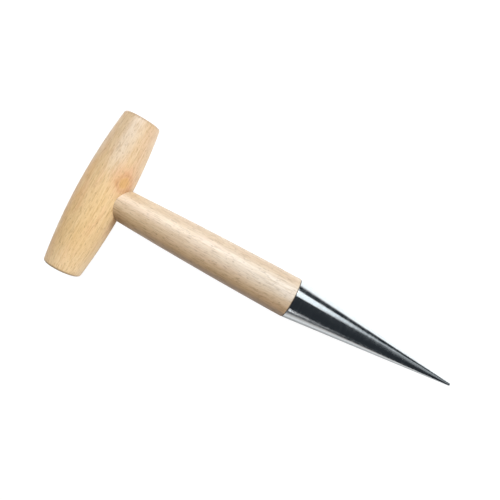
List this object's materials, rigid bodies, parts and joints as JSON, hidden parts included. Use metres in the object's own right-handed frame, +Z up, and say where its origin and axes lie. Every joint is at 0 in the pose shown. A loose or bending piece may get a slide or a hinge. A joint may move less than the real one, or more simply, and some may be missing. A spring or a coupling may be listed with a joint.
{
  "type": "garden dibber",
  "caption": "T-handled garden dibber with a barrel-shaped wooden cross grip, a tapered round wooden shaft and a long pointed steel cone, lying on its side.",
  "frame": {"origin": "centre of the bounding box on the surface the dibber lies on, z = 0", "axes": "+X along the shaft towards the steel tip, Y along the cross grip, +Z up from the surface the dibber lies on"},
  "size_m": [0.3002, 0.1194, 0.0354],
  "materials": {
    "grip_wood": "golden hardwood, satin lacquer",
    "shaft_wood": "pale hardwood, satin lacquer",
    "polished_steel": "polished stainless steel",
    "pin_steel": "plain steel"
  },
  "bodies": {
    "root": {"cross_grip": "grip_wood", "shaft": "shaft_wood", "steel_point": "polished_steel", "grip_pin": "pin_steel", "point_pin": "pin_steel"}
  },
  "joints": []
}
